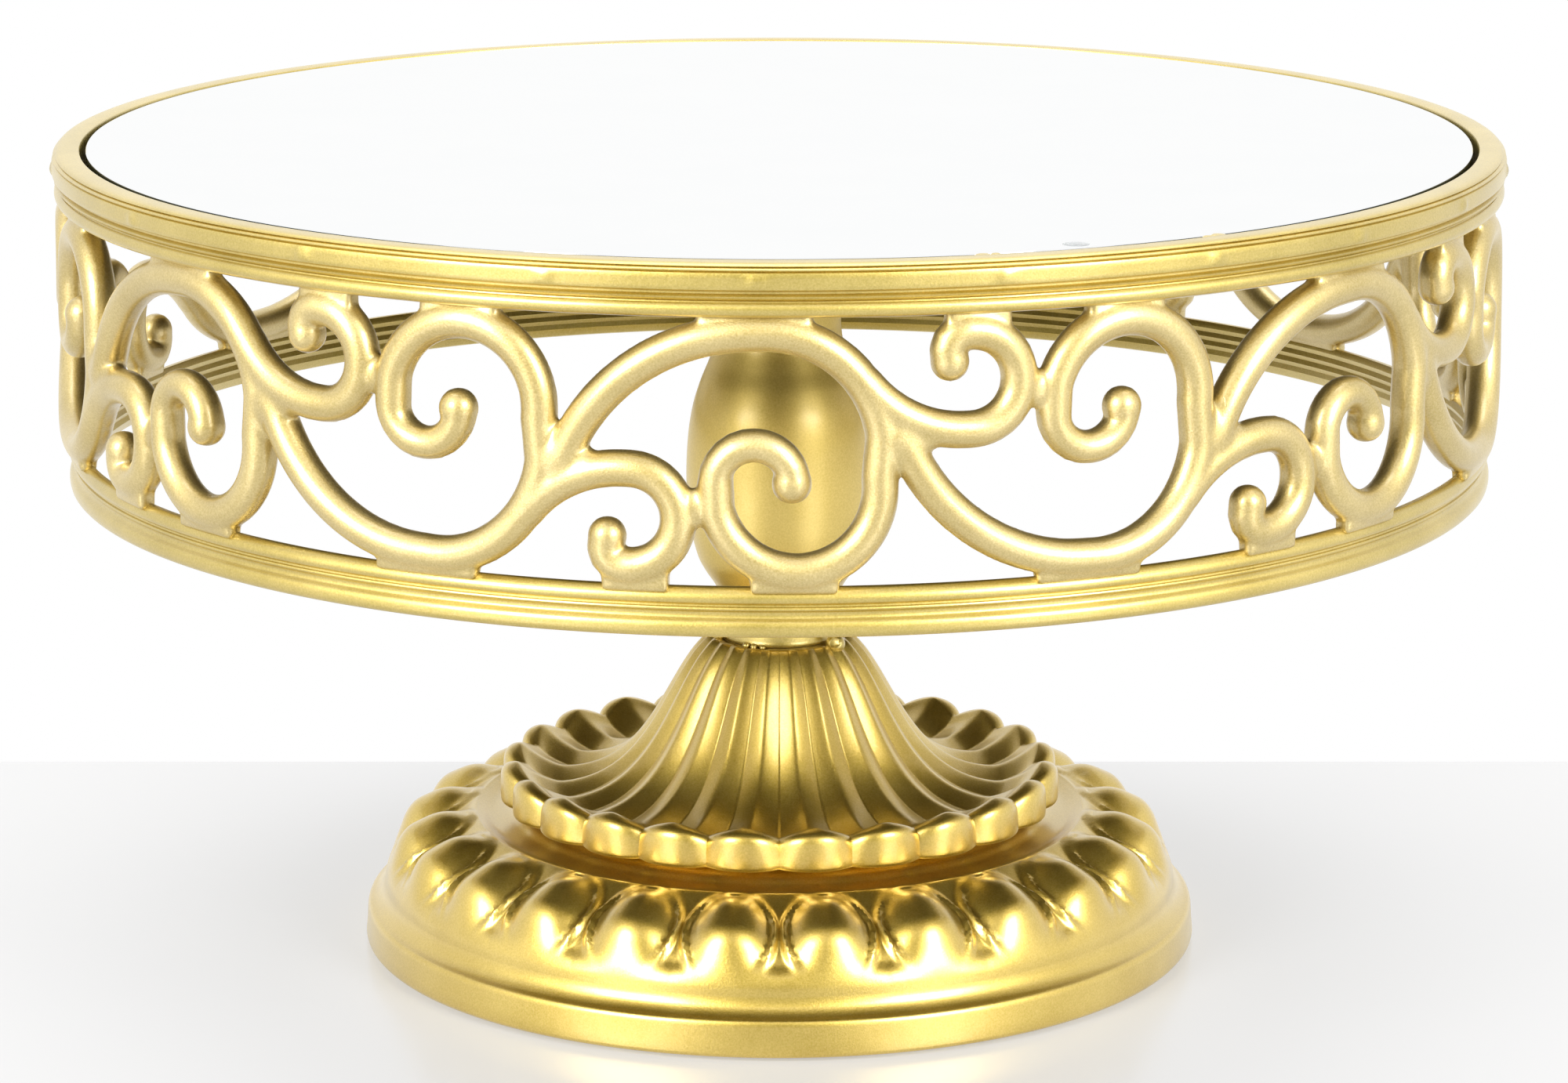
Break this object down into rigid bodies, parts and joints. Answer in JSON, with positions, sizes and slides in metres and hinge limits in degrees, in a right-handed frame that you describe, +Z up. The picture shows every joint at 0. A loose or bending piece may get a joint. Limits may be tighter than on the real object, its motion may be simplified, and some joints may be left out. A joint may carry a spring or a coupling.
{
  "type": "cake stand",
  "caption": "Round gold cake stand: a loose mirror top in a pierced scrollwork gallery that unscrews from a vase-shaped stem on a fluted and gadrooned foot.",
  "frame": {"origin": "on the floor at the centre of the foot", "axes": "+Z up along the stem; the picture looks along +Y from above, with +X to the right"},
  "size_m": [0.3048, 0.3048, 0.1747],
  "materials": {
    "gold_paint": "satin metallic gold paint with a fine sparkle",
    "gold_satin": "smoother satin gold",
    "steel": "zinc-plated, satin",
    "mirror": "silvered glass with a ground edge",
    "felt": "felt",
    "nylon": "natural nylon",
    "clear": "clear, glossy"
  },
  "bodies": {
    "stand": {"stem_neck": "gold_paint", "stem_bulb": "gold_satin", "stem_collar": "gold_paint", "tack_weld": "gold_paint", "tie_rod": "steel", "top_nut": "steel", "base_trumpet": "gold_paint", "base_dome": "gold_paint", "base_bridge": "steel", "bottom_washer": "steel", "lock_washer": "steel", "bottom_nut": "steel"},
    "riser": {"tray_washer": "nylon"},
    "tray": {"tray_rim": "gold_paint", "lower_ring": "gold_paint", "scroll_panel_1": "gold_paint", "scroll_panel_2": "gold_paint", "scroll_panel_3": "gold_paint", "scroll_panel_4": "gold_paint", "scroll_panel_5": "gold_paint", "scroll_panel_6": "gold_paint", "scroll_panel_7": "gold_paint", "tray_pan": "gold_paint", "tray_hub": "steel", "mirror_pads": "felt"},
    "mirror": {"mirror_plate": "mirror", "clear_bumper": "clear"}
  },
  "joints": [
    {"name": "tray_rise", "type": "slide", "parent": "stand", "child": "riser", "axis": [0, 0, 1], "range_m": [0, 0.009]},
    {"name": "tray_turn", "type": "hinge", "parent": "riser", "child": "tray", "pos_m": [0, 0, 0.166], "axis": [0, 0, 1], "range_deg": [0, 2160]},
    {"name": "mirror_lift", "type": "slide", "parent": "tray", "child": "mirror", "axis": [0, 0, 1], "range_m": [0, 0.04]}
  ],
  "couplings": [
    {"joint": "tray_rise", "follows": "tray_turn", "m_per_rad": 0.00023873}
  ]
}
